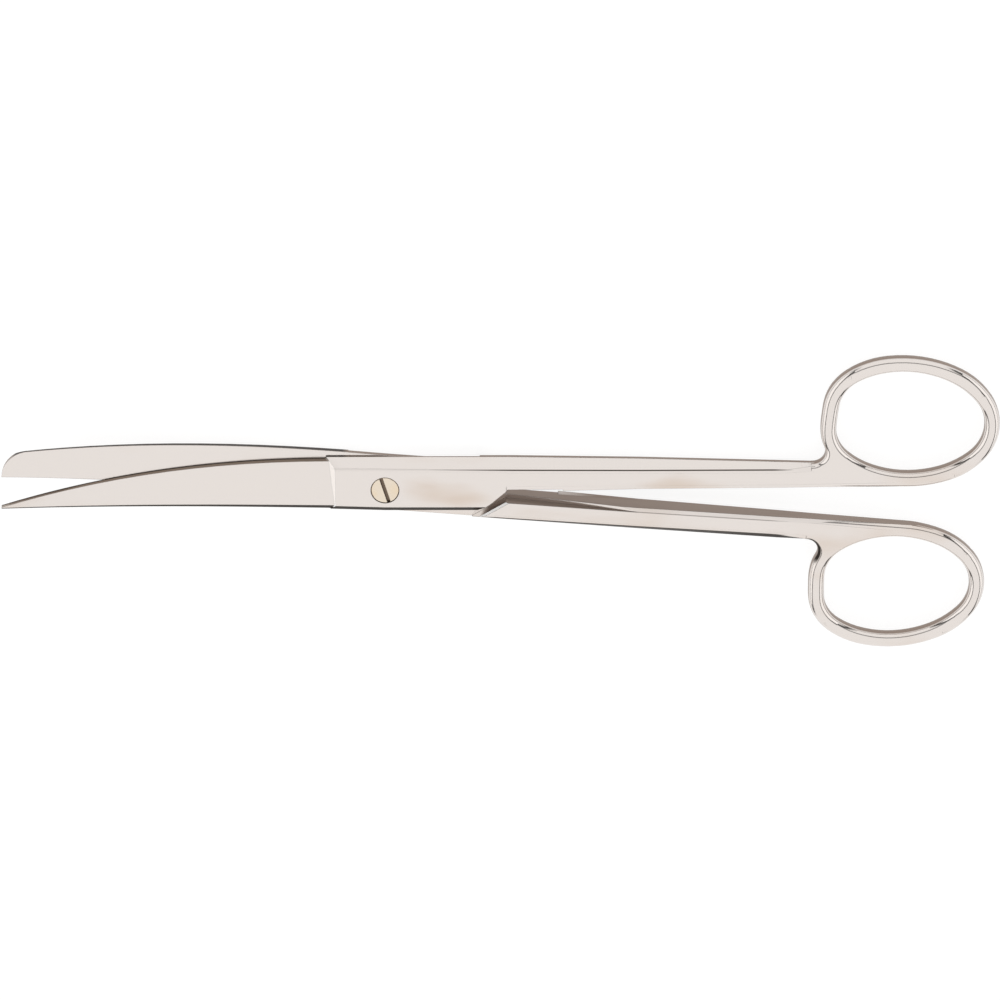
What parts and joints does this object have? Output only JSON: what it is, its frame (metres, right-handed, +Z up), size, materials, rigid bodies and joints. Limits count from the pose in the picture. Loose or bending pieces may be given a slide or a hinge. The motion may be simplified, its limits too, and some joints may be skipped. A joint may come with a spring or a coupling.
{
  "type": "operating scissors",
  "caption": "Operating scissors with a sharp and a blunt point, curved blades, a half-lap box turning on a slotted pivot screw, and finger rings",
  "frame": {"origin": "On the pivot axis, in the plane of the box's underside, which is what the scissors rest on", "axes": "+X runs along the bisector of the halves from the pivot towards the finger rings, so the tips point along -X; +Y is towards the sharp half's ring; +Z is up, out of the screw's slotted head, and the blades curve up towards it"},
  "size_m": [0.1941, 0.0636, 0.0117],
  "materials": {
    "forged_steel": "satin, with polished rings",
    "screw_steel": "turned, warm in tone"
  },
  "bodies": {
    "blunt_side": {"blunt_half": "forged_steel", "pivot_screw": "screw_steel"},
    "sharp_side": {"sharp_half": "forged_steel"}
  },
  "joints": [
    {"name": "pivot", "type": "hinge", "parent": "blunt_side", "child": "sharp_side", "pos_m": [0, 0, 0.0026], "axis": [0, 0, 1], "range_deg": [-4.6, 75.4]}
  ]
}
